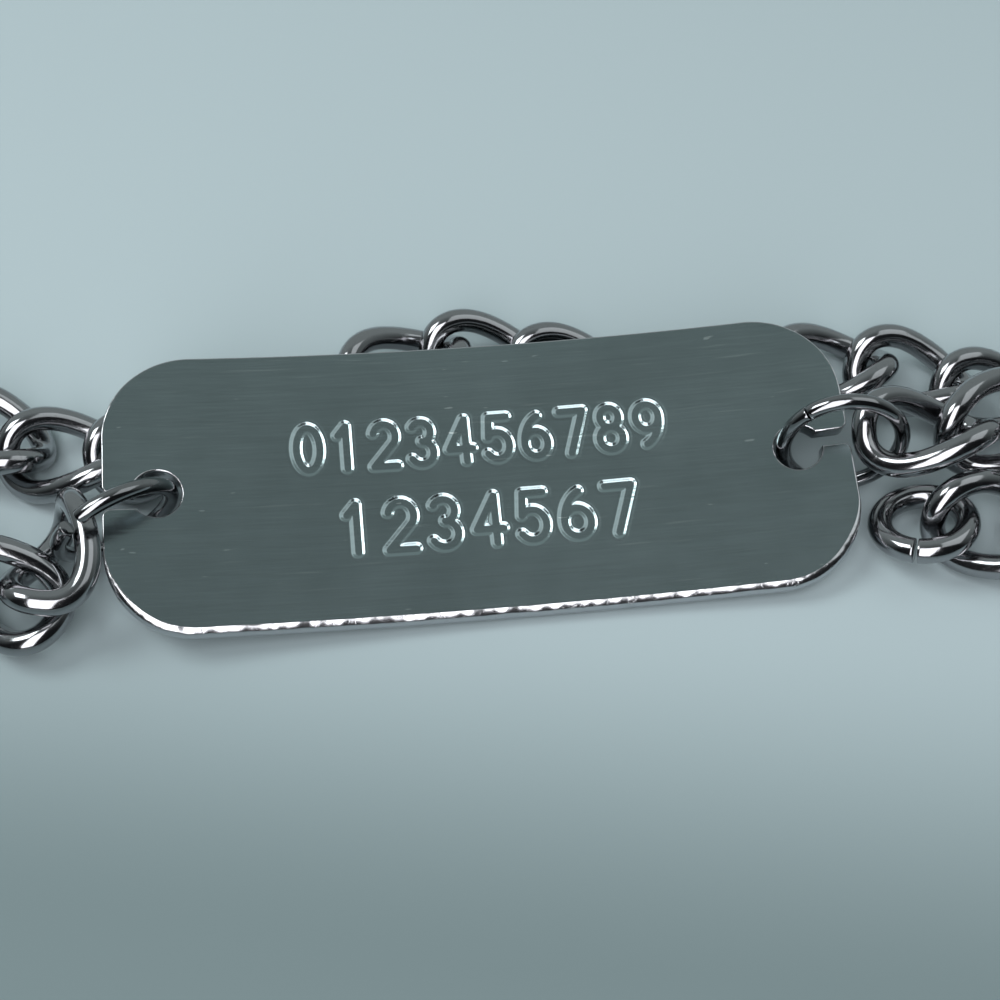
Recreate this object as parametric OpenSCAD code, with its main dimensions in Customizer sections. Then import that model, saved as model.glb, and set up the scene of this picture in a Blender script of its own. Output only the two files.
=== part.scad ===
// Medical alert bracelet: a bent identity plate, two jump rings and a
// heavy curb chain that lies in a flattened loop, closed by a plain clasp.

/* [Plate] */
// Length of the plate
plate_len = 44.5; // [42:0.5:46]
// Width of the plate, across the wrist band
plate_wid = 17.5; // [16:0.5:19]
// Thickness of the plate's sheet
plate_thk = 1.15; // [0.9:0.05:1.4]
// Radius of the plate's corners
corner_r = 5.2; // [3.5:0.1:6.5]
// Radius that the plate is bent to, over the wrist
bend_r = 160; // [130:5:260]
// Angle that the plate's back edge is raised by the chain under it
plate_tilt = 14.4; // [13:0.2:16]
// Angle that the plate's right end is lowered by
plate_lean = 1.5; // [0:0.5:2]
// Angle that the plate is turned by on the table
plate_turn = 6.3; // [5:0.1:8]
// Air under the plate's lowest edge
plate_lift = 0.15; // [0.05:0.05:0.4]

/* [Keyholes] */
// Diameter of the hole at each end
hole_d = 2.9; // [2.6:0.1:3.2]
// From the plate's end to the centre of the hole
hole_inset = 3.1; // [2.8:0.1:3.4]
// Width of the slot from the hole out to the plate's end
slot_w = 0.95; // [0.7:0.05:1.2]
// Distance of the slot from the plate's middle line
slot_off = 0.4; // [0.2:0.05:0.6]
// Radius at the mouth of the slot
mouth_r = 0.5; // [0.3:0.1:0.8]

/* [Jump rings] */
// Thickness of the jump rings' wire
ring_wire = 0.95; // [0.8:0.05:1.05]
// Outer diameter of the jump rings
ring_od = 8.1; // [7.9:0.1:8.5]
// Gap between the sprung ends of the left ring
left_gap = 1.1; // [0.6:0.1:1.6]
// Gap between the closed ends of the right ring
right_gap = 0.1; // [0.05:0.05:0.3]
// Gap between the ends of the ring at the chain's free end
end_gap = 0.35; // [0.2:0.05:0.5]

/* [Chain] */
// Thickness of the chain's wire
link_wire = 1.5; // [1.4:0.05:1.55]
// Outer length of a link
link_len = 9; // [8.9:0.1:9.4]
// Outer width of a link
link_wid = 6.6; // [6.4:0.1:6.8]
// Twist of a link from its middle to each end
link_twist = 42; // [40:1:44]
// Least play between two links
link_play = 0.4; // [0.3:0.05:0.5]

/* [Clasp] */
// Thickness of the wire of the clasp's two loops
clasp_wire = 1.1; // [1:0.05:1.15]
// Outer diameter of the loop that hooks into the chain
hook_od = 5.6; // [5.4:0.1:5.8]
// Outer diameter of the eye that the first stretch hangs in
eye_od = 5; // [4.9:0.1:5.2]
// Length from the eye's far side to the hook's far side
clasp_len = 15.5; // [15.4:0.1:15.8]
// Thickness of the clasp's body
clasp_thk = 2.4; // [2:0.2:2.8]

/* [Hidden] */
$fn = 64;
link_sides = 6;     // sides of a link's wire
link_rings = 26;    // sections round a link

// Where the middle of the plate lies, from the bracelet's own origin
table_at = [1.53, -1.23, -0.04];

// Links that lie loose beside the plate, in the order in which they hang:
// [out, away, up, heading, rise, roll] of each middle on the table, out from
// the plate's own end and away from its middle line. The right pile leads
// from the right ring to the clasp, the turn pile from the long stretch round
// to the link that the clasp hooks into, and the tail pile to the free end.
left_pile = [
    [-2.45, -5.8, 3.6, -90, 12, 35],
    [-5.35, -7.8, 3.2, 150, 14, -50]];
right_pile = [
    [4.55, 2.6, 4.6, 0, 0, -12],
    [9.35, 3.4, 4.5, 18, 10, 32]];
turn_pile = [
    [21.25, 4.6, 2.5, -25, -1, -1],
    [21.75, 0.8, 3.3, -105, 0, 60],
    [18.75, -3, 3.2, 194, 20, -59]];
tail_pile = [
    [13.55, -3.8, 3, 172, -10, -28],
    [8.35, -2.9, 2.6, 173, 3, -24]];
end_ring_at = [4.15, -2.5, 2.2, 0, 10, 74];
clasp_at = [18.15, 1.4, 5.6, -15, 6, 1];

// Middle line of the long stretch, from the left pile behind the plate to the
// turn pile: [out, away, up, roll] beside the plate's ends, and behind the
// plate [share of its half length, away, up, roll]
left_run = [
    [-12.95, -7, 3.25, -21],
    [-18.15, -9.2, 2.35, -2],
    [-23.3, -6.9, 1.9, 0],
    [-25.8, -1.8, 1.8, 0],
    [-25.3, 2.8, 1.8, 0],
    [-22.05, 7, 1.8, 0],
    [-16.55, 8.4, 1.8, 0],
    [-11.35, 5.8, 1.8, 0],
    [-6.15, 3, 1.8, 0],
    [-0.35, 2.6, 1.8, 0]];
left_behind = [
    [-0.82, 3.6, 1.9, 0],
    [-0.643, 5, 1.9, 0],
    [-0.364, 8.6, 2, 0],
    [-0.113, 11.2, 1.9, 0]];
right_behind = [
    [0.083, 10.4, 1.9, 0],
    [0.443, 8.5, 2, 0],
    [0.719, 8.9, 1.9, 0],
    [0.944, 10.1, 1.8, 0]];
right_run = [
    [2.7, 10.2, 1.8, 0],
    [8.95, 7.7, 1.9, 0],
    [14.35, 6.4, 1.9, 0]];

// Rotation that lays the plate as it rests
function turn_x(a, p) = [p.x, p.y * cos(a) - p.z * sin(a), p.y * sin(a) + p.z * cos(a)];
function turn_y(a, p) = [p.x * cos(a) + p.z * sin(a), p.y, -p.x * sin(a) + p.z * cos(a)];
function turn_z(a, p) = [p.x * cos(a) - p.y * sin(a), p.x * sin(a) + p.y * cos(a), p.z];
function lay(p) = turn_z(plate_turn, turn_y(plate_lean, turn_x(plate_tilt, p)));
// Height of the plate's middle: its front edge clears the table
plate_z = plate_wid / 2 * sin(plate_tilt) + plate_thk * cos(plate_tilt) + plate_lift;
// A point on the bent plate's upper face, as it rests
function on_plate(x, y) =
    [0, 0, plate_z] + lay([x, y, bend_r - sqrt(bend_r * bend_r - x * x)]);

hole_x = plate_len / 2 - hole_inset;
ring_r = (ring_od - ring_wire) / 2;
// How each jump ring lies: [direction out of its hole, roll, angle of its cut]
left_ring_lies = [[-7, -4, -1.2], -16, 56];
right_ring_lies = [[7, 0.3, 1.45], -6, 120];
// Share of its play in the hole that a ring is pushed in by
ring_push = 0.8;
end_ring_cut = 108;

function unit(v) = v / norm(v);
// Frame of a jump ring: [centre, outward, its axis, up in its plane].
// Its wire lies near the hole's inner side.
function ring_frame(side, lies) =
    let (o = unit(lies[0]),
         hole = on_plate(side * hole_x, 0) - lay([0, 0, plate_thk / 2])
              - o * (hole_d - ring_wire) / 2 * ring_push)
    rolled(hole + o * ring_r, o, lies[1]);
left_ring_frame = ring_frame(-1, left_ring_lies);
right_ring_frame = ring_frame(1, right_ring_lies);

// Catmull-Rom spline through route points, each [x, y, z, roll]
function blend4(a, b, c, d, t) =
    0.5 * (2 * b + (c - a) * t + (2 * a - 5 * b + 4 * c - d) * t * t
    + (3 * b - a - 3 * c + d) * t * t * t);
function spline(p, steps) =
    let (n = len(p), q = concat([2 * p[0] - p[1]], p, [2 * p[n - 1] - p[n - 2]]))
    concat([for (i = [0:n - 2], s = [0:steps - 1])
        blend4(q[i], q[i + 1], q[i + 2], q[i + 3], s / steps)], [p[n - 1]]);
function place3(p) = [p.x, p.y, p.z];
function lengths(p, i = 1, acc = [0]) =
    i == len(p) ? acc
    : lengths(p, i + 1, concat(acc, acc[i - 1] + norm(place3(p[i] - p[i - 1]))));
// Point at a given length along the samples
function at_length(p, l, s, i = 1) =
    i == len(p) - 1 || l[i] >= s
    ? p[i - 1] + (p[i] - p[i - 1]) * (s - l[i - 1]) / (l[i] - l[i - 1])
    : at_length(p, l, s, i + 1);
// Junctions at equal lengths along a route, none further apart than a link allows
pitch = link_len - 2 * link_wire - link_play;
function junctions(route) =
    let (p = spline(route, 12), l = lengths(p), total = l[len(l) - 1],
         n = ceil(total / pitch))
    [for (i = [0:n]) at_length(p, l, min(total, total * i / n))];

// Places across the table, from the plate's left (-1) or right (1) end
function out_from(side, list) =
    [for (p = list) [for (i = [0:len(p) - 1]) p[i] + (i == 0 ? side * plate_len / 2 : 0)]];
// Places behind the plate, as shares of its half length
function behind(list) =
    [for (p = list) [p.x * plate_len / 2, p.y, p.z, p[3]]];

// Frame of a piece laid by its middle: [centre, along, across, up]
function rolled(c, along, roll) =
    let (flat = unit(cross([0, 0, 1], along)), up = cross(along, flat))
    [c, along, flat * cos(roll) + up * sin(roll), up * cos(roll) - flat * sin(roll)];
function pile_frame(p) =
    rolled(place3(p),
        [cos(p[3]) * cos(p[4]), sin(p[3]) * cos(p[4]), sin(p[4])], p[5]);
// Where the last (-1) or the next (1) link crosses a link laid by its middle
function end_of(p, side) =
    let (f = pile_frame(p))
    concat(f[0] + f[1] * side * pitch / 2, p[5]);
function last(list) = list[len(list) - 1];

// Frames of the links between two junctions at equal steps
function run_frames(route) =
    let (e = junctions(route))
    [for (i = [0:len(e) - 2])
        rolled(place3(e[i] + e[i + 1]) / 2, unit(place3(e[i + 1] - e[i])),
            (e[i][3] + e[i + 1][3]) / 2)];

left_links = out_from(-1, left_pile);
turn_links = out_from(1, turn_pile);
left_frames = [for (p = left_links) pile_frame(p)];
right_frames = [for (p = out_from(1, right_pile)) pile_frame(p)];
end_ring_frame = pile_frame(out_from(1, [end_ring_at])[0]);
clasp_frame = pile_frame(out_from(1, [clasp_at])[0]);
left_way = concat(out_from(-1, left_run), behind(left_behind));
right_way = out_from(1, right_run);
long_frames = concat(
    run_frames(concat([end_of(last(left_links), 1)], left_way)),
    run_frames(concat([last(left_way)], behind(right_behind), [right_way[0]])),
    run_frames(concat(right_way, [end_of(turn_links[0], -1)])),
    [for (p = concat(turn_links, out_from(1, tail_pile))) pile_frame(p)]);

// Middle line of a link, an oval twisted about its length
half_x = (link_len - link_wire) / 2;
half_y = (link_wid - link_wire) / 2;
fullness = 2.4;     // 2 makes a link's oval an ellipse, and more makes it squarer
function swell(v) = sign(v) * pow(abs(v), 2 / fullness);
function oval(a) =
    let (x = half_x * swell(cos(a)), y = half_y * swell(sin(a)),
         f = -link_twist * x / half_x)
    [x, y * cos(f), y * sin(f)];
function in_frame(f, p) = f[0] + f[1] * p.x + f[2] * p.y + f[3] * p.z;

// A closed wire swept along a loop of middle points
module closed_wire(mid, wire, sides) {
    n = len(mid);
    pts = [for (i = [0:n - 1])
        let (t = unit(mid[(i + 1) % n] - mid[(i + n - 1) % n]),
             m = mid[i] - (mid[0] + mid[floor(n / 2)]) / 2,
             side = unit(m - t * (m * t)), third = cross(t, side))
        for (k = [0:sides - 1])
            mid[i] + wire / 2 * (side * cos(360 * k / sides) + third * sin(360 * k / sides))];
    faces = [for (i = [0:n - 1], k = [0:sides - 1])
        let (i2 = (i + 1) % n, k2 = (k + 1) % sides)
        each [[i * sides + k, i * sides + k2, i2 * sides + k2],
              [i * sides + k, i2 * sides + k2, i2 * sides + k]]];
    polyhedron(points = pts, faces = faces);
}

module chain_link(f) {
    mid = [for (k = [0:link_rings - 1]) in_frame(f, oval(360 * (k + 0.5) / link_rings))];
    color([0.62, 0.64, 0.65]) translate(table_at) closed_wire(mid, link_wire, link_sides);
}

function frame_matrix(f) =
    [[f[1].x, f[3].x, f[2].x, f[0].x],
     [f[1].y, f[3].y, f[2].y, f[0].y],
     [f[1].z, f[3].z, f[2].z, f[0].z],
     [0, 0, 0, 1]];

module wire_loop(r, wire, open = 0) {
    rotate_extrude(angle = 360 - open) translate([r, 0]) circle(d = wire, $fn = 32);
}

// A wire ring with a cut at an angle from its outward side
module cut_ring(f, r, wire, gap, cut_at) {
    open = gap / r * 180 / PI;
    color([0.55, 0.57, 0.58]) translate(table_at) multmatrix(frame_matrix(f))
        rotate(cut_at + open / 2) wire_loop(r, wire, open);
}

module left_ring() {
    cut_ring(left_ring_frame, ring_r, ring_wire, left_gap, left_ring_lies[2]);
}
module right_ring() {
    cut_ring(right_ring_frame, ring_r, ring_wire, right_gap, right_ring_lies[2]);
}
module end_ring() {
    cut_ring(end_ring_frame, half_y, link_wire, end_gap, end_ring_cut);
}

module rounded_plan() {
    square([plate_len - 2 * corner_r, plate_wid], center = true);
    square([plate_len, plate_wid - 2 * corner_r], center = true);
    for (x = [-1, 1], y = [-1, 1])
        translate([x * (plate_len / 2 - corner_r), y * (plate_wid / 2 - corner_r)])
            circle(r = corner_r, $fn = 96);
}

module keyhole_plan() {
    translate([hole_x, 0]) circle(d = hole_d, $fn = 48);
    translate([hole_x, slot_off - slot_w / 2]) square([hole_inset + 1, slot_w]);
    difference() {
        translate([plate_len / 2 - mouth_r, slot_off - slot_w / 2 - mouth_r])
            square([mouth_r + 1, slot_w + 2 * mouth_r]);
        for (s = [-1, 1])
            translate([plate_len / 2 - mouth_r, slot_off + s * (slot_w / 2 + mouth_r)])
                circle(r = mouth_r, $fn = 32);
    }
}

module plate() {
    color([0.42, 0.46, 0.46]) translate(table_at + [0, 0, plate_z])
        rotate([plate_tilt, plate_lean, plate_turn]) intersection() {
            translate([0, 0, -2 * plate_thk]) linear_extrude(plate_thk * 6) difference() {
                rounded_plan();
                for (s = [0, 180]) rotate(s) keyhole_plan();
            }
            translate([0, plate_wid, bend_r]) rotate([90, 0, 0]) difference() {
                cylinder(r = bend_r + plate_thk, h = 2 * plate_wid, $fn = 256);
                translate([0, 0, -1]) cylinder(r = bend_r, h = 2 * plate_wid + 2, $fn = 256);
            }
        }
}

// The clasp: an eye and a hook loop on edge, soldered to a plain body
eye_r = (eye_od - clasp_wire) / 2;
hook_r = (hook_od - clasp_wire) / 2;
module clasp() {
    color([0.6, 0.62, 0.63]) translate(table_at) multmatrix(frame_matrix(clasp_frame)) {
        translate([(eye_od - clasp_len) / 2, 0, 0]) wire_loop(eye_r, clasp_wire);
        translate([(clasp_len - hook_od) / 2, 0, 0]) wire_loop(hook_r, clasp_wire);
        translate([eye_od - (clasp_len + clasp_wire) / 2, 0, 0]) rotate([0, 90, 0])
            cylinder(d = clasp_thk, h = clasp_len - eye_od - hook_od + clasp_wire);
    }
}

groups = [["left_link_", left_frames], ["long_link_", long_frames],
    ["right_link_", right_frames]];
function name_of(stem, i) = str(stem, i < 10 ? "0" : "", i);

plate();
left_ring();
right_ring();
end_ring();
clasp();
for (g = groups, i = [1:len(g[1])])
    chain_link(g[1][i - 1]);
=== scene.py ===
"""Medical alert bracelet: a brushed steel plate, jump rings and a heavy curb chain."""
import math

import bmesh
import bpy
import numpy as np
from bpy.props import (FloatProperty, FloatVectorProperty, IntProperty, PointerProperty,
                       StringProperty)
from mathutils import Matrix, Vector


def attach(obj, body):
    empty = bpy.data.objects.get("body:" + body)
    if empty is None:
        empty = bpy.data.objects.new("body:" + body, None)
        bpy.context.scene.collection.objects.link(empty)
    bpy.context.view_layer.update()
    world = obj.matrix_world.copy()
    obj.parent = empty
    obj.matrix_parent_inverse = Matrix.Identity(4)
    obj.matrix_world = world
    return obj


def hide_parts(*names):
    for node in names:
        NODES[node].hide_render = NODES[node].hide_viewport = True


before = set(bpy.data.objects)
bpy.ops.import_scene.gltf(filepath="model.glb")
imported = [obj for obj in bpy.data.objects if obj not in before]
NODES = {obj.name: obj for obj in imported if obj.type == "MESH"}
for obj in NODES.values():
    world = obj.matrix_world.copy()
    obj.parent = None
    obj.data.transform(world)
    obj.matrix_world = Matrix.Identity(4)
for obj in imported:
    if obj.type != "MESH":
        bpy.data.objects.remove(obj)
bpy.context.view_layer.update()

bl_info = {
    "name": "Medical alert bracelet",
    "version": (1, 0, 0),
    "blender": (4, 5, 0),
    "location": "3D View > Sidebar > Bracelet",
    "description": "Builds a stamped plate, its jump rings and a curb chain over the packed model",
    "category": "Object",
}

MM = 0.001


# Settings

def length(name, description, default, low=0.0, high=1.0):
    return FloatProperty(name=name, description=description, default=default * MM,
                         min=low * MM, max=high * MM, subtype="DISTANCE", unit="LENGTH",
                         precision=5)


def colour(name, description, default):
    return FloatVectorProperty(name=name, description=description, default=default,
                               size=3, subtype="COLOR", min=0.0, max=1.0)


def angle(name, description, default):
    return FloatProperty(name=name, description=description, default=math.radians(default),
                         subtype="ANGLE", unit="ROTATION")


class BraceletPlate(bpy.types.PropertyGroup):
    long: length("Length", "Length of the plate", 44.5, 30, 60)
    wide: length("Width", "Width of the plate", 17.5, 10, 30)
    thick: length("Thickness", "Thickness of the sheet", 1.15, 0.5, 3)
    corner: length("Corner radius", "Radius of the corners", 5.2, 1, 8)
    bend: length("Bend radius", "Radius that the plate is bent to", 160, 60, 500)
    rim: length("Rim radius", "Radius of the rounded rim along the front", 0.48, 0.05, 0.5)
    edge: length("Edge radius", "Radius of the other edges", 0.09, 0.02, 0.5)
    hole: length("Hole", "Diameter of the hole at each end", 2.9, 1, 5)
    inset: length("Hole inset", "From the end to the middle of the hole", 3.1, 1, 6)
    slot: length("Slot", "Width of the slot out of the hole", 0.95, 0.3, 2)
    slot_off: length("Slot offset", "Distance of the slot from the middle line", 0.4, 0, 1)
    mouth: length("Mouth radius", "Radius at the mouth of the slot", 0.5, 0.1, 1)
    tilt: angle("Tilt", "Angle that the back edge is raised by", 14.4)
    lean: angle("Lean", "Angle that the right end is lowered by", 1.5)
    turn: angle("Turn", "Angle that the plate is turned by on the table", 6.3)
    lift: length("Lift", "Air under the lowest edge", 0.15, 0, 1)
    upper_row: StringProperty(name="Upper row", description="Figures in the upper row",
                              default="0123456789")
    lower_row: StringProperty(name="Lower row", description="Figures in the lower row",
                              default="1234567")
    stroke: length("Stroke", "Width of a stamped stroke", 0.6, 0.2, 1)
    sunk: length("Depth", "Depth of a stamped stroke", 0.065, 0.02, 0.4)
    steel: colour("Brushed steel", "Colour of the brushed face", (0.302, 0.368, 0.378))


class BraceletChain(bpy.types.PropertyGroup):
    long: length("Link length", "Outer length of a link", 9, 5, 15)
    wide: length("Link width", "Outer width of a link", 6.6, 4, 12)
    wire: length("Wire", "Thickness of the links' wire", 1.5, 0.5, 3)
    twist: angle("Twist", "Twist of a link from its middle to each end", 42)
    ring_wire: length("Ring wire", "Thickness of the jump rings' wire", 0.95, 0.4, 2)
    ring_wide: length("Ring diameter", "Outer diameter of the jump rings", 8.1, 4, 15)
    left_gap: length("Left gap", "Gap between the ends of the left ring", 1.1, 0, 3)
    right_gap: length("Right gap", "Gap between the ends of the right ring", 0.1, 0, 3)
    end_gap: length("End gap", "Gap between the ends of the free end's ring", 0.22, 0, 3)
    clasp_wire: length("Clasp wire", "Thickness of the clasp's two loops", 1.1, 0.5, 2)
    hook_wide: length("Hook diameter", "Outer diameter of the clasp's hook", 5.6, 3, 10)
    eye_wide: length("Eye diameter", "Outer diameter of the clasp's eye", 5, 3, 10)
    clasp_long: length("Clasp length", "Length over both loops", 15.5, 10, 30)
    clasp_thick: length("Clasp body", "Thickness of the clasp's body", 2.4, 1, 5)
    sides: IntProperty(name="Wire sides", description="Sides of a round wire", default=24,
                       min=8, max=64)
    steel: colour("Polished steel", "Colour of the chain and rings", (0.315, 0.315, 0.326))


class BraceletStage(bpy.types.PropertyGroup):
    # The near floor is painted darker than the far floor: painted shade in front
    near_floor_painted_shade: colour("Near floor", "Colour of the floor in front", (0.165, 0.214, 0.220))
    far_floor: colour("Far floor", "Colour of the floor behind", (0.400, 0.476, 0.495))
    room: colour("Room", "Colour of the dark room in front", (0.016, 0.018, 0.02))
    ceiling: colour("Ceiling", "Colour of the room overhead", (0.192, 0.224, 0.224))
    backdrop: colour("Backdrop", "Colour of the pale walls behind", (0.38, 0.44, 0.44))
    lens: FloatProperty(name="Lens", description="Focal length of the camera, in mm",
                        default=59.4, min=10, max=200)
    aim: FloatVectorProperty(name="Aim", description="Point that the camera looks at",
                             default=(2.61 * MM, -2.89 * MM, 3.36 * MM), size=3,
                             subtype="TRANSLATION", unit="LENGTH")
    away: length("Distance", "Distance of the camera from its aim", 98.1, 20, 1000)
    rise: angle("Elevation", "Elevation of the camera", 54.5)


GROUPS = {"bracelet_plate": BraceletPlate, "bracelet_chain": BraceletChain,
          "bracelet_stage": BraceletStage}

# Shape of a link's oval: 2 makes an ellipse, and more makes it squarer
FULLNESS = 2.4
# Middle of the table under the plate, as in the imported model
TABLE_AT = Vector((1.53, -1.23, -0.04)) * MM
# How each ring lies: end of the plate, direction out of the hole, roll, angle of the cut
RING_LIES = {"left_ring": (-1, (-7, -4, -1.2), -16, 56),
             "right_ring": (1, (7, 0.3, 1.45), -6, 120)}
# Middle of a loose piece on the table, in mm, with its heading, rise and roll
END_RING_LIES = (26.4, -2.5, 2.2, 0, 10, 74)
END_RING_CUT = 108
CLASP_LIES = (40.4, 1.4, 5.6, -15, 6, 1)
# How far each jump ring is pulled from the middle of its hole to the hole's side
RING_PULL = 0.8

# Stamped rows in mm on the plate: left end, right end, foot, top, breadth of a figure
UPPER_ROW_AT = (-11.4, 11.5, 1.12, 3.88, 1.4)
LOWER_ROW_AT = (-9, 9.35, -4.22, -1.22, 1.6)
# Coarse grid of the plate's face, a share of a cell that keeps it off the plate's own
# points, cuts that make a cell fine, and where: half breadth, low, high in mm
CELL = 0.75 * MM
OFF_POINTS = 0.003
FINE_CUTS = 12
FINE_AREAS = ((11.9, -0.6, 4.4), (9.8, -5, 0))
# Reach of the stamping from the middle of the plate
STAMPED_TO = (12.8 * MM, 5.6 * MM)
# Breadth of a stroke's sloping wall; height, place and breadth of the lip outside it
WALL = 0.2 * MM
LIP_HIGH, LIP_AT, LIP_WIDE = 0.008 * MM, 0.16 * MM, 0.07 * MM
# Distance in front of the plate's middle where its rim starts to widen, and where it is full
FRONT_FROM, FRONT_FULL = 3 * MM, 7 * MM

# Colour of fresh scratches
BARE_STEEL = (0.8, 0.84, 0.84)
# Where the near floor, painted darker as painted shade, ends and the far floor starts, and how far
# that line slants
PAINTED_SHADE_FADE = (-30 * MM, -4 * MM)
PAINTED_SHADE_SLANT = 0.12
# How far a direction points away from the viewer where the ceiling, and then the
# backdrop, comes in
CEILING_FADE = (-0.40, 0.10)
BACKDROP_FADE = (0.14, 0.55)

# Soft panels: heading and elevation seen from the bracelet, distance, size, glow, tint
LAMPS = (
    ("right", 8, 57, 0.36, (0.26, 0.24), 0.8, (0.93, 0.99, 1.0)),
    ("left", 171, 55, 0.36, (0.15, 0.15), 7.5, (0.93, 0.99, 1.0)),
    ("front", -101, 44, 0.5, (0.3, 0.7), 4.2, (0.96, 0.97, 1.0)),
)


# Shared making

def new_object(name, bm, materials, smooth=True):
    mesh = bpy.data.meshes.new(name)
    for face in bm.faces:
        face.smooth = smooth
    bm.to_mesh(mesh)
    bm.free()
    obj = bpy.data.objects.new(name, mesh)
    bpy.context.scene.collection.objects.link(obj)
    for material in materials:
        obj.data.materials.append(material)
    return obj


def dress(obj, slot, *nodes):
    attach(obj, "root")
    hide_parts(*nodes)


def frame_matrix(centre, along, across, up):
    m = Matrix((along, across, up)).transposed().to_4x4()
    m.translation = centre
    return m


def rolled(centre, along, roll):
    """Axes of a piece laid on the table: its length, its breadth and its upper side."""
    along = Vector(along).normalized()
    flat = Vector((0, 0, 1)).cross(along).normalized()
    up = along.cross(flat)
    c, s = math.cos(math.radians(roll)), math.sin(math.radians(roll))
    return Vector(centre), along, flat * c + up * s, up * c - flat * s


def lying(place):
    x, y, z, heading, rise, roll = place
    h, r = math.radians(heading), math.radians(rise)
    along = (math.cos(h) * math.cos(r), math.sin(h) * math.cos(r), math.sin(r))
    return rolled(Vector((x, y, z)) * MM + TABLE_AT, along, roll)


def plate_lie(p):
    """Turns the flat-lying plate to the way it rests, and puts it there."""
    low = p.wide / 2 * math.sin(p.tilt) + p.thick * math.cos(p.tilt) + p.lift
    return (Matrix.Translation(TABLE_AT + Vector((0, 0, low)))
            @ Matrix.Rotation(p.turn, 4, "Z") @ Matrix.Rotation(p.lean, 4, "Y")
            @ Matrix.Rotation(p.tilt, 4, "X"))


def bent_up(p, x):
    """How far the plate's bend lifts a point of it."""
    return p.bend - math.sqrt(p.bend ** 2 - x ** 2)


def on_edge(centre, along, across, up):
    """Turns a ring drawn flat so that it stands across the piece's breadth."""
    return frame_matrix(centre, along, up, along.cross(up))


def ring_bm(radius, wire, gap, cut_at, sides, steps=112):
    """A round wire spun into a ring, open by a gap at an angle from its x axis."""
    bm = bmesh.new()
    start = Matrix.Translation((radius, 0, 0)) @ Matrix.Rotation(math.pi / 2, 4, "X")
    made = bmesh.ops.create_circle(bm, segments=sides, radius=wire / 2, matrix=start)
    edges = list({e for v in made["verts"] for e in v.link_edges})
    opening = gap / radius
    turn = math.tau - opening
    bmesh.ops.spin(bm, geom=made["verts"] + edges, cent=(0, 0, 0), axis=(0, 0, 1),
                   angle=turn, steps=steps, use_merge=gap == 0)
    if gap:
        close_ends(bm, wire)
    bmesh.ops.remove_doubles(bm, verts=bm.verts, dist=1e-7)
    bmesh.ops.recalc_face_normals(bm, faces=bm.faces)
    bmesh.ops.rotate(bm, cent=(0, 0, 0), verts=bm.verts,
                     matrix=Matrix.Rotation(math.radians(cut_at) + opening / 2, 3, "Z"))
    return bm


def close_ends(bm, wire):
    """Caps the two open ends of a wire and takes the burr off them."""
    rim = [e for e in bm.edges if e.is_boundary]
    bmesh.ops.holes_fill(bm, edges=rim, sides=0)
    rim = [e for e in bm.edges if any(len(f.verts) > 4 for f in e.link_faces)]
    bmesh.ops.bevel(bm, geom=rim, offset=wire * 0.03, offset_type="OFFSET", segments=2,
                    profile=0.5, affect="EDGES", material=-1)


def swell(v):
    return math.copysign(abs(v) ** (2 / FULLNESS), v)


def link_line(t, long, wide, wire, twist):
    """Middle of the wire at an angle round a twisted curb link."""
    half_x, half_y = (long - wire) / 2, (wide - wire) / 2
    x, y = half_x * swell(math.cos(t)), half_y * swell(math.sin(t))
    turn = -twist * x / half_x
    return Vector((x, y * math.cos(turn), y * math.sin(turn)))


def link_bm(s, steps=84):
    """One welded curb link: a round section carried all round the twisted oval."""
    def at(t):
        return link_line(t, s.long, s.wide, s.wire, s.twist)

    stations = []
    for k in range(steps):
        t = math.tau * (k + 0.5) / steps
        middle, along = at(t), (at(t + 0.01) - at(t - 0.01)).normalized()
        outward = (middle - along * middle.dot(along)).normalized()
        stations.append(frame_matrix(middle, outward, along.cross(outward), along))
    bm = bmesh.new()
    made = bmesh.ops.create_circle(bm, segments=s.sides, radius=s.wire / 2, matrix=stations[0])
    first = edges = list({e for v in made["verts"] for e in v.link_edges})
    for before, after in zip(stations, stations[1:]):
        out = bmesh.ops.extrude_edge_only(bm, edges=edges)["geom"]
        verts = [g for g in out if isinstance(g, bmesh.types.BMVert)]
        edges = [g for g in out if isinstance(g, bmesh.types.BMEdge)
                 and g.verts[0] in verts and g.verts[1] in verts]
        bmesh.ops.transform(bm, matrix=after @ before.inverted(), verts=verts)
    bmesh.ops.bridge_loops(bm, edges=first + edges)
    bmesh.ops.recalc_face_normals(bm, faces=bm.faces)
    return bm


def own_axes(node):
    """The place of a chain link, read from its solid: it is longest along x, thinnest along z."""
    points = np.array([v.co for v in NODES[node].data.vertices])
    points = np.unique(np.round(points, 7), axis=0)
    centre = points.mean(0)
    spread = np.linalg.eigh(np.cov((points - centre).T))[1]
    along, across = Vector(spread[:, 2]), Vector(spread[:, 1])
    return Vector(centre), along, across, along.cross(across)


# Figures

def arc(cx, cy, rx, ry, start, stop, steps=14):
    turns = [math.radians(start + (stop - start) * k / steps) for k in range(steps + 1)]
    return [(cx + rx * math.cos(t), cy + ry * math.sin(t)) for t in turns]


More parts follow.
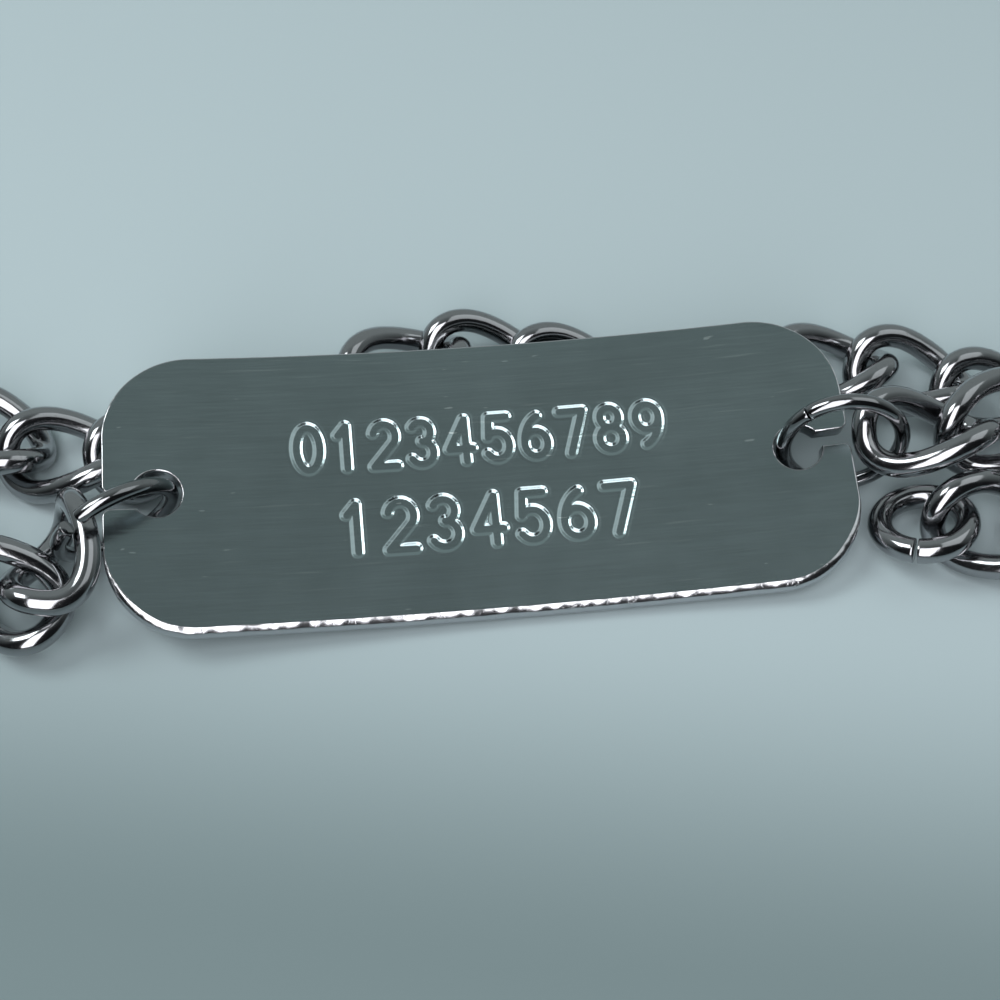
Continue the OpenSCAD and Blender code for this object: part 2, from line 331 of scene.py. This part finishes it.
def strokes_of(figure):
    """Strokes of a plain figure in a cell one wide and one high."""
    six = [arc(0.5, 0.3, 0.5, 0.3, 0, 360, 24), arc(1.0, 0.32, 1.0, 0.68, 112, 180)]
    return {
        "0": [arc(0.5, 0.5, 0.5, 0.5, 0, 360, 28)],
        "1": [[(0.15, 0.78), (0.5, 1), (0.5, 0)]],
        "2": [arc(0.5, 0.71, 0.48, 0.29, 165, -35) + [(0, 0), (1, 0)]],
        "3": [arc(0.45, 0.76, 0.42, 0.24, 150, -80), arc(0.45, 0.27, 0.5, 0.27, 85, -150)],
        "4": [[(0.72, 0), (0.72, 1), (0, 0.3), (1, 0.3)]],
        "5": [[(0.92, 1), (0.16, 1), (0.08, 0.52)] + arc(0.45, 0.32, 0.52, 0.32, 128, -145)],
        "6": six,
        "7": [[(0, 1), (1, 1), (0.35, 0)]],
        "8": [arc(0.5, 0.77, 0.4, 0.23, 0, 360, 22), arc(0.5, 0.27, 0.5, 0.27, 0, 360, 24)],
        "9": [[(1 - x, 1 - y) for x, y in line] for line in six],
    }.get(figure, [])


def row_segments(text, left, right, low, high, narrow):
    """Straight pieces of all strokes of a row, in mm on the plate."""
    pitch = (right - left) / len(text)
    made = []
    for k, figure in enumerate(text):
        for line in strokes_of(figure):
            points = [(left + pitch * (k + 0.5) + (x - 0.5) * narrow, low + y * (high - low))
                      for x, y in line]
            made += list(zip(points, points[1:]))
    return made


def stamped_depth(points, segments, half, depth):
    """How far points of the face are pushed in by the strokes, with a faint raised lip."""
    near = np.full(len(points), 1e9)
    for (ax, ay), (bx, by) in segments:
        a, b = np.array((ax, ay)) * MM, np.array((bx, by)) * MM
        run = b - a
        t = np.clip(((points - a) @ run) / max(run @ run, 1e-18), 0, 1)
        near = np.minimum(near, np.linalg.norm(points - a - t[:, None] * run, axis=1))
    t = np.clip((half + WALL / 2 - near) / WALL, 0, 1)
    sunk = depth * t * t * (3 - 2 * t)
    lip = LIP_HIGH * np.exp(-((near - half - LIP_AT) / LIP_WIDE) ** 2)
    return sunk - lip * (1 - t)


# Finishes

def socket(group, name, kind, out=False):
    group.interface.new_socket(name=name, in_out="OUTPUT" if out else "INPUT",
                               socket_type=kind)


def node(tree, kind, **values):
    made = tree.nodes.new(kind)
    for key, value in values.items():
        setattr(made, key, value)
    return made


def plug(tree, into, value):
    """Links an output into an input, or sets the input to a number or a colour."""
    if isinstance(value, bpy.types.NodeSocket):
        tree.links.new(value, into)
    elif isinstance(value, (int, float)):
        into.default_value = value
    else:
        into.default_value = (*value, 1)


def math_node(tree, operation, first, second, clamp=False):
    made = node(tree, "ShaderNodeMath", operation=operation, use_clamp=clamp)
    plug(tree, made.inputs[0], first)
    plug(tree, made.inputs[1], second)
    return made.outputs[0]


def stretched(tree, vector, scale, turn=0.0):
    """Coordinates scaled along each axis, and turned about z."""
    made = node(tree, "ShaderNodeMapping")
    made.inputs["Rotation"].default_value = (0, 0, turn)
    made.inputs["Scale"].default_value = scale
    tree.links.new(vector, made.inputs["Vector"])
    return made.outputs[0]


def noise(tree, vector, scale, detail=2.0, rough=0.5, distortion=0.0):
    made = node(tree, "ShaderNodeTexNoise")
    tree.links.new(vector, made.inputs["Vector"])
    made.inputs["Scale"].default_value = scale
    made.inputs["Detail"].default_value = detail
    made.inputs["Roughness"].default_value = rough
    made.inputs["Distortion"].default_value = distortion
    return made.outputs["Fac"]


def ramp(tree, value, low, high, shape="LINEAR"):
    made = node(tree, "ShaderNodeMapRange", interpolation_type=shape)
    made.clamp = True
    tree.links.new(value, made.inputs["Value"])
    made.inputs["From Min"].default_value = low
    made.inputs["From Max"].default_value = high
    return made.outputs["Result"]


def brushing_group():
    """Fine parallel brushing: a height, a mask of scratches and nicks, and soft clouds."""
    group = bpy.data.node_groups.new("Brushing", "ShaderNodeTree")
    socket(group, "Vector", "NodeSocketVector")
    for name in ("Height", "Scratches", "Cloud"):
        socket(group, name, "NodeSocketFloat", out=True)
    start, end = node(group, "NodeGroupInput"), node(group, "NodeGroupOutput")
    vector = start.outputs["Vector"]
    fine = noise(group, stretched(group, vector, (160, 6500, 3000)), 1.0, 3.0, 0.6)
    broad = noise(group, stretched(group, vector, (60, 1900, 900)), 1.0, 2.0, 0.5)
    height = math_node(group, "ADD", fine, math_node(group, "MULTIPLY", broad, 0.6))
    stray = stretched(group, vector, (230, 5200, 400), 0.12)
    scratches = ramp(group, noise(group, stray, 1.0, 1.0, 0.4, 0.3), 0.70, 0.80)
    spots = stretched(group, vector, (900, 4200, 1500), -0.5)
    nicks = ramp(group, noise(group, spots, 1.0, 0.0, 0.5), 0.845, 0.87)
    marks = math_node(group, "ADD", math_node(group, "MULTIPLY", scratches, 0.14),
                      math_node(group, "MULTIPLY", nicks, 0.45), True)
    group.links.new(height, end.inputs["Height"])
    group.links.new(marks, end.inputs["Scratches"])
    group.links.new(noise(group, vector, 140, 3.0, 0.6), end.inputs["Cloud"])
    return group


def handling_group():
    """Small dents and hairlines that steel gets from wear: a height and a mask."""
    group = bpy.data.node_groups.new("Handling", "ShaderNodeTree")
    socket(group, "Vector", "NodeSocketVector")
    for name in ("Height", "Marks"):
        socket(group, name, "NodeSocketFloat", out=True)
    start, end = node(group, "NodeGroupInput"), node(group, "NodeGroupOutput")
    vector = start.outputs["Vector"]
    dents = noise(group, vector, 420, 2.0, 0.5)
    hair = ramp(group, noise(group, vector, 2600, 2.0, 0.7, 1.2), 0.60, 0.72)
    height = math_node(group, "SUBTRACT", dents, math_node(group, "MULTIPLY", hair, 0.02))
    group.links.new(height, end.inputs["Height"])
    group.links.new(hair, end.inputs["Marks"])
    return group


def placed_group(tree, group):
    made = node(tree, "ShaderNodeGroup")
    made.node_tree = group
    return made


def new_material(name):
    material = bpy.data.materials.new(name)
    material.use_nodes = True
    tree = material.node_tree
    return material, tree, tree.nodes["Principled BSDF"]


def mixed(tree, fac, first, second):
    made = node(tree, "ShaderNodeMix", data_type="RGBA")
    tree.links.new(fac, made.inputs["Factor"])
    plug(tree, made.inputs["A"], first)
    plug(tree, made.inputs["B"], second)
    return made.outputs["Result"]


def bumped(tree, shader, height, distance, strength):
    made = node(tree, "ShaderNodeBump")
    made.inputs["Distance"].default_value = distance
    made.inputs["Strength"].default_value = strength
    tree.links.new(height, made.inputs["Height"])
    tree.links.new(made.outputs["Normal"], shader.inputs["Normal"])


def brushed_steel(settings, group):
    material, tree, shader = new_material("brushed_steel")
    place = node(tree, "ShaderNodeTexCoord")
    lined_up = node(tree, "ShaderNodeMapping")
    lined_up.vector_type = "TEXTURE"
    lined_up.inputs["Rotation"].default_value = (settings.tilt, settings.lean, settings.turn)
    tree.links.new(place.outputs["Object"], lined_up.inputs["Vector"])
    brushing = placed_group(tree, group)
    tree.links.new(lined_up.outputs[0], brushing.inputs["Vector"])
    steel = settings.steel
    tone = math_node(tree, "ADD", brushing.outputs["Cloud"], brushing.outputs["Height"])
    cloudy = mixed(tree, ramp(tree, tone, 0.9, 1.7),
                   [c * 0.92 for c in steel], [min(1, c * 1.08) for c in steel])
    tree.links.new(mixed(tree, brushing.outputs["Scratches"], cloudy, BARE_STEEL),
                   shader.inputs["Base Color"])
    shader.inputs["Metallic"].default_value = 1.0
    rough = math_node(tree, "MULTIPLY", brushing.outputs["Cloud"], 0.07)
    tree.links.new(math_node(tree, "ADD", rough, 0.15), shader.inputs["Roughness"])
    bumped(tree, shader, brushing.outputs["Height"], 0.02 * MM, 0.35)
    return material


def polished_steel(name, steel, group, rough_low, rough_more, dent, scale=1.0):
    material, tree, shader = new_material(name)
    place = node(tree, "ShaderNodeTexCoord")
    wear = placed_group(tree, group)
    tree.links.new(stretched(tree, place.outputs["Object"], (scale,) * 3),
                   wear.inputs["Vector"])
    tree.links.new(mixed(tree, wear.outputs["Marks"], steel, [c * 0.86 for c in steel]),
                   shader.inputs["Base Color"])
    shader.inputs["Metallic"].default_value = 1.0
    more = math_node(tree, "MULTIPLY", wear.outputs["Marks"], rough_more)
    tree.links.new(math_node(tree, "ADD", more, rough_low), shader.inputs["Roughness"])
    bumped(tree, shader, wear.outputs["Height"], dent, 0.5)
    return material


def finishes():
    """The bracelet's finishes, made on first use."""
    if "brushed_steel" not in bpy.data.materials:
        scene = bpy.context.scene
        brushing, handling = brushing_group(), handling_group()
        chain = tuple(scene.bracelet_chain.steel)
        brushed_steel(scene.bracelet_plate, brushing)
        # Rim and walls: the chain steel made 1.6 times brighter, a painted highlight that makes
        # the plate's edges shine white
        polished_steel("rim_painted_highlight", tuple(min(1, c * 1.6) for c in chain), handling,
                       0.16, 0.12, 0.5 * MM, 0.9)
        # Jump rings: the chain steel made darker, painted shade
        polished_steel("rings_painted_shade", tuple(c * 0.8 for c in chain), handling,
                       0.10, 0.10, 0.04 * MM)
        polished_steel("polished_chain", chain, handling, 0.13, 0.10, 0.1 * MM)
    return bpy.data.materials


# Operators

class BRACELET_OT_plate(bpy.types.Operator):
    """Make the bent plate with its keyholes, rounded rim and stamped figures"""
    bl_idname = "bracelet.plate"
    bl_label = "Plate"

    def cutters(self, s):
        """Solids that cut a hole and its slot at both ends."""
        bm = bmesh.new()
        for side in (1, -1):
            end = Matrix.Rotation(0 if side == 1 else math.pi, 4, "Z")
            hole_x = s.long / 2 - s.inset
            bmesh.ops.create_cone(bm, cap_ends=True, segments=64, radius1=s.hole / 2,
                                  radius2=s.hole / 2, depth=4 * s.thick,
                                  matrix=end @ Matrix.Translation((hole_x, 0, 0)))
        slots = bmesh.new()
        for side in (1, -1):
            end = Matrix.Rotation(0 if side == 1 else math.pi, 4, "Z")
            middle = s.long / 2 - s.inset / 2 + 0.5 * MM
            size = Matrix.Diagonal((s.inset + 1 * MM, s.slot, 4 * s.thick, 1))
            bmesh.ops.create_cube(slots, size=1, matrix=end @ Matrix.Translation(
                (middle, s.slot_off, 0)) @ size)
        return new_object("cut_holes", bm, []), new_object("cut_slots", slots, [])

    def slab(self, s):
        """The flat sheet with round corners, holes and slots."""
        bm = bmesh.new()
        bmesh.ops.create_cube(bm, size=1, matrix=Matrix.Diagonal((s.long, s.wide, s.thick, 1)))
        upright = [e for e in bm.edges if abs(e.verts[0].co.z - e.verts[1].co.z) > s.thick / 2]
        bmesh.ops.bevel(bm, geom=upright, offset=s.corner, offset_type="OFFSET", segments=26,
                        profile=0.5, affect="EDGES", material=-1)
        blank = new_object("blank", bm, [])
        cutters = self.cutters(s)
        for cutter in cutters:
            cut = blank.modifiers.new("cut", "BOOLEAN")
            cut.operation, cut.solver, cut.object = "DIFFERENCE", "EXACT", cutter
        graph = bpy.context.evaluated_depsgraph_get()
        bm = bmesh.new()
        bm.from_mesh(blank.evaluated_get(graph).to_mesh())
        for used in (blank, *cutters):
            bpy.data.objects.remove(used)
        bmesh.ops.remove_doubles(bm, verts=bm.verts, dist=1e-6)
        bmesh.ops.dissolve_limit(bm, angle_limit=math.radians(0.5), verts=bm.verts,
                                 edges=bm.edges)
        return bm

    def round_front(self, v, s):
        """Widens the small rounding of the outer edge to the full rim along the front."""
        x, y = v.co.xy
        core = Vector((max(-s.long / 2 + s.corner, min(s.long / 2 - s.corner, x)),
                       max(-s.wide / 2 + s.corner, min(s.wide / 2 - s.corner, y))))
        out = v.co.xy - core
        inward, down = s.corner - out.length, s.thick / 2 - abs(v.co.z)
        if max(inward, down) > s.edge * 1.02 or y > -FRONT_FROM:
            return
        front = min(1, (-y - FRONT_FROM) / (FRONT_FULL - FRONT_FROM))
        more = (s.rim / s.edge - 1) * front * front * (3 - 2 * front)
        v.co.xy -= out.normalized() * inward * more
        v.co.z -= math.copysign(down * more, v.co.z)

    def stamp(self, bm, s):
        """Cuts the face into a grid, fine under the figures, and presses their strokes in."""
        for normal, reach in ((Vector((1, 0, 0)), s.long / 2), (Vector((0, 1, 0)), s.wide / 2)):
            for k in range(-int(reach / CELL), int(reach / CELL) + 1):
                bmesh.ops.bisect_plane(bm, geom=bm.verts[:] + bm.edges[:] + bm.faces[:],
                                       dist=1e-7, plane_co=normal * (k + OFF_POINTS) * CELL,
                                       plane_no=normal)
        lettered = []
        for face in bm.faces:
            x, y, _ = face.calc_center_median() / MM
            inside = any(abs(x) < half and low < y < high for half, low, high in FINE_AREAS)
            if face.normal.z > 0.9 and face.material_index == 0 and inside:
                lettered.append(face)
        bmesh.ops.subdivide_edges(bm, edges=list({e for f in lettered for e in f.edges}),
                                  cuts=FINE_CUTS, use_grid_fill=True)
        for edge in bm.edges:
            edge.smooth = len({face.material_index for face in edge.link_faces}) == 1
        face_verts = [v for v in bm.verts if abs(v.co.z - s.thick / 2) < 1e-7
                      and abs(v.co.x) < STAMPED_TO[0] and abs(v.co.y) < STAMPED_TO[1]]
        flat = np.array([v.co.xy for v in face_verts])
        segments = (row_segments(s.upper_row, *UPPER_ROW_AT)
                    + row_segments(s.lower_row, *LOWER_ROW_AT))
        sunk = stamped_depth(flat, segments, s.stroke / 2, s.sunk)
        for v, depth in zip(face_verts, sunk):
            v.co.z -= depth

    def execute(self, context):
        s = context.scene.bracelet_plate
        bm = self.slab(s)
        mouth = [e for e in bm.edges
                 if abs(e.verts[0].co.z - e.verts[1].co.z) > s.thick / 2
                 and all(abs(abs(v.co.x) - s.long / 2) < 1e-6 and abs(v.co.y) < 1.5 * MM
                         for v in e.verts)]
        if len(mouth) != 4:
            raise RuntimeError("the slots have %d mouth corners, not four" % len(mouth))
        bmesh.ops.bevel(bm, geom=mouth, offset=s.mouth, offset_type="OFFSET", segments=8,
                        profile=0.5, affect="EDGES", material=-1)
        bm.normal_update()
        rim = [e for e in bm.edges if len(e.link_faces) == 2
               and sorted(abs(f.normal.z) > 0.9 for f in e.link_faces) == [False, True]]
        bmesh.ops.bevel(bm, geom=rim, offset=s.edge, offset_type="OFFSET", segments=6,
                        profile=0.5, affect="EDGES", material=-1)
        for v in bm.verts:
            self.round_front(v, s)
        bm.normal_update()
        for face in bm.faces:
            # Every face off the flat face takes the rim's painted highlight
            face.material_index = 0 if abs(face.normal.z) > 0.9999 else 1
        self.stamp(bm, s)
        for v in bm.verts:
            v.co.z += bent_up(s, v.co.x) - s.thick / 2
        bmesh.ops.transform(bm, matrix=plate_lie(s), verts=bm.verts)
        bmesh.ops.recalc_face_normals(bm, faces=bm.faces)
        looks = finishes()
        plate = new_object("stamped_plate", bm, [looks["brushed_steel"], looks["rim_painted_highlight"]])
        even = plate.modifiers.new("even_shading", "WEIGHTED_NORMAL")
        even.keep_sharp = True
        dress(plate, "plate", "plate")
        return {"FINISHED"}


class BRACELET_OT_rings(bpy.types.Operator):
    """Make the two jump rings in the plate's holes and the ring at the free end"""
    bl_idname = "bracelet.rings"
    bl_label = "Rings"

    def hole_ring(self, name, context):
        p, c = context.scene.bracelet_plate, context.scene.bracelet_chain
        side, out, roll, cut_at = RING_LIES[name]
        x = side * (p.long / 2 - p.inset)
        radius = (c.ring_wide - c.ring_wire) / 2
        out = Vector(out).normalized()
        hole = (plate_lie(p) @ Vector((x, 0, bent_up(p, x) - p.thick / 2))
                - out * (p.hole - c.ring_wire) / 2 * RING_PULL)
        axes = rolled(hole + out * radius, out, roll)
        gap = c.left_gap if side < 0 else c.right_gap
        bm = ring_bm(radius, c.ring_wire, gap, cut_at, c.sides)
        bmesh.ops.transform(bm, matrix=on_edge(*axes), verts=bm.verts)
        return new_object(name + "_wire", bm, [finishes()["rings_painted_shade"]])

    def execute(self, context):
        for name in RING_LIES:
            dress(self.hole_ring(name, context), "rings", name)
        c = context.scene.bracelet_chain
        bm = ring_bm((c.wide - c.wire) / 2, c.wire, c.end_gap, END_RING_CUT, c.sides)
        bmesh.ops.transform(bm, matrix=on_edge(*lying(END_RING_LIES)), verts=bm.verts)
        ring = new_object("end_ring_wire", bm, [finishes()["polished_chain"]])
        dress(ring, "chain", "end_ring")
        return {"FINISHED"}


class BRACELET_OT_chain(bpy.types.Operator):
    """Make a round wire link over every link of the chain"""
    bl_idname = "bracelet.chain"
    bl_label = "Chain links"

    def execute(self, context):
        s = context.scene.bracelet_chain
        names = sorted(n for n in NODES if "_link_" in n)
        if not names:
            raise RuntimeError("the model has no chain links")
        steel = finishes()["polished_chain"]
        pattern = link_bm(s)
        for name in names:
            centre, along, across, up = own_axes(name)
            bm = pattern.copy()
            bmesh.ops.transform(bm, matrix=frame_matrix(centre, along, across, up),
                                verts=bm.verts)
            dress(new_object(name + "_wire", bm, [steel]), "chain", name)
        pattern.free()
        return {"FINISHED"}


class BRACELET_OT_clasp(bpy.types.Operator):
    """Make the clasp: a plain body with an eye at one end and a hook loop at the other"""
    bl_idname = "bracelet.clasp"
    bl_label = "Clasp"

    def execute(self, context):
        s = context.scene.bracelet_chain
        bm = ring_bm((s.eye_wide - s.clasp_wire) / 2, s.clasp_wire, 0, 0, s.sides, 72)
        bmesh.ops.translate(bm, vec=((s.eye_wide - s.clasp_long) / 2, 0, 0), verts=bm.verts)
        hook = ring_bm((s.hook_wide - s.clasp_wire) / 2, s.clasp_wire, 0, 0, s.sides, 80)
        bmesh.ops.translate(hook, vec=((s.clasp_long - s.hook_wide) / 2, 0, 0),
                            verts=hook.verts)
        body_long = s.clasp_long - s.eye_wide - s.hook_wide + s.clasp_wire
        body_x = s.eye_wide - (s.clasp_long + s.clasp_wire) / 2 + body_long / 2
        body = bmesh.new()
        bmesh.ops.create_cone(body, cap_ends=True, segments=40, radius1=s.clasp_thick / 2,
                              radius2=s.clasp_thick / 2, depth=body_long,
                              matrix=Matrix.Translation((body_x, 0, 0))
                              @ Matrix.Rotation(math.pi / 2, 4, "Y"))
        shoulders = [e for e in body.edges if any(len(f.verts) > 4 for f in e.link_faces)]
        bmesh.ops.bevel(body, geom=shoulders, offset=0.45 * MM, offset_type="OFFSET",
                        segments=5, profile=0.5, affect="EDGES", material=-1)
        for part in (hook, body):
            mesh = bpy.data.meshes.new("part")
            part.to_mesh(mesh)
            part.free()
            bm.from_mesh(mesh)
            bpy.data.meshes.remove(mesh)
        bmesh.ops.recalc_face_normals(bm, faces=bm.faces)
        bmesh.ops.transform(bm, matrix=on_edge(*lying(CLASP_LIES)), verts=bm.verts)
        clasp = new_object("clasp_piece", bm, [finishes()["polished_chain"]])
        dress(clasp, "clasp", "clasp")
        return {"FINISHED"}


class BRACELET_OT_stage(bpy.types.Operator):
    """Set the pale floor with painted shade in front, the soft lights and the camera"""
    bl_idname = "bracelet.stage"
    bl_label = "Stage"

    def soft_light(self, name, heading, rise, away, size, glow, tint):
        """A soft panel that faces the bracelet, as bright as its glow wherever it stands."""
        data = bpy.data.lights.new(name, "AREA")
        data.shape, data.size, data.size_y = "RECTANGLE", size[0], size[1]
        data.energy = glow * math.pi * size[0] * size[1]
        data.color = tint
        h, r = math.radians(heading), math.radians(rise)
        out = Vector((math.cos(h) * math.cos(r), math.sin(h) * math.cos(r), math.sin(r)))
        light = bpy.data.objects.new(name, data)
        light.location = out * away
        light.rotation_euler = out.to_track_quat("Z", "Y").to_euler()
        bpy.context.scene.collection.objects.link(light)

    def execute(self, context):
        s = context.scene.bracelet_stage
        bm = bmesh.new()
        bmesh.ops.create_grid(bm, x_segments=8, y_segments=8, size=0.6)
        floor_material, tree, shader = new_material("pale_floor")
        place = node(tree, "ShaderNodeTexCoord")
        split = node(tree, "ShaderNodeSeparateXYZ")
        tree.links.new(place.outputs["Object"], split.inputs[0])
        # Painted shade: the floor is painted darker towards the front and the left
        away = math_node(tree, "ADD", split.outputs["Y"],
                         math_node(tree, "MULTIPLY", split.outputs["X"], PAINTED_SHADE_SLANT))
        tree.links.new(mixed(tree, ramp(tree, away, *PAINTED_SHADE_FADE, "SMOOTHSTEP"),
                             s.near_floor_painted_shade, s.far_floor), shader.inputs["Base Color"])
        shader.inputs["Roughness"].default_value = 0.75
        shader.inputs["Specular IOR Level"].default_value = 0.2
        new_object("floor", bm, [floor_material])

        world = bpy.data.worlds.new("room")
        world.use_nodes = True
        tree = world.node_tree
        way = node(tree, "ShaderNodeTexCoord")
        split = node(tree, "ShaderNodeSeparateXYZ")
        tree.links.new(way.outputs["Generated"], split.inputs[0])
        over = ramp(tree, split.outputs["Y"], *CEILING_FADE)
        behind = ramp(tree, split.outputs["Y"], *BACKDROP_FADE)
        shades = mixed(tree, behind, mixed(tree, over, s.room, s.ceiling), s.backdrop)
        tree.links.new(shades, tree.nodes["Background"].inputs["Color"])
        context.scene.world = world

        for lamp in LAMPS:
            self.soft_light(*lamp)

        data = bpy.data.cameras.new("camera")
        data.lens, data.sensor_width = s.lens, 36
        data.clip_start, data.clip_end = 0.005, 10
        data.dof.use_dof = False
        camera = bpy.data.objects.new("camera", data)
        aim = Vector(s.aim)
        camera.location = aim + s.away * Vector((0, -math.cos(s.rise), math.sin(s.rise)))
        camera.rotation_euler = (math.pi / 2 - s.rise, 0, 0)
        context.scene.collection.objects.link(camera)
        context.scene.camera = camera
        context.scene.view_settings.view_transform = "Standard"
        return {"FINISHED"}


OPERATORS = (BRACELET_OT_plate, BRACELET_OT_rings, BRACELET_OT_chain, BRACELET_OT_clasp,
             BRACELET_OT_stage)


class BRACELET_PT_panel(bpy.types.Panel):
    """Lists the bracelet's pieces and their settings"""
    bl_idname = "BRACELET_PT_panel"
    bl_label = "Medical alert bracelet"
    bl_space_type = "VIEW_3D"
    bl_region_type = "UI"
    bl_category = "Bracelet"

    def draw(self, context):
        for operator in OPERATORS:
            self.layout.operator(operator.bl_idname)
        for name, group in GROUPS.items():
            box = self.layout.box()
            for key in group.__annotations__:
                box.prop(getattr(context.scene, name), key)


CLASSES = (*GROUPS.values(), *OPERATORS, BRACELET_PT_panel)


def register():
    for cls in CLASSES:
        bpy.utils.register_class(cls)
    for name, group in GROUPS.items():
        setattr(bpy.types.Scene, name, PointerProperty(type=group))


def unregister():
    for name in GROUPS:
        delattr(bpy.types.Scene, name)
    for cls in reversed(CLASSES):
        bpy.utils.unregister_class(cls)


def main():
    register()
    for operator in OPERATORS:
        section, action = operator.bl_idname.split(".")
        getattr(getattr(bpy.ops, section), action)()


if __name__ == "__main__":
    main()
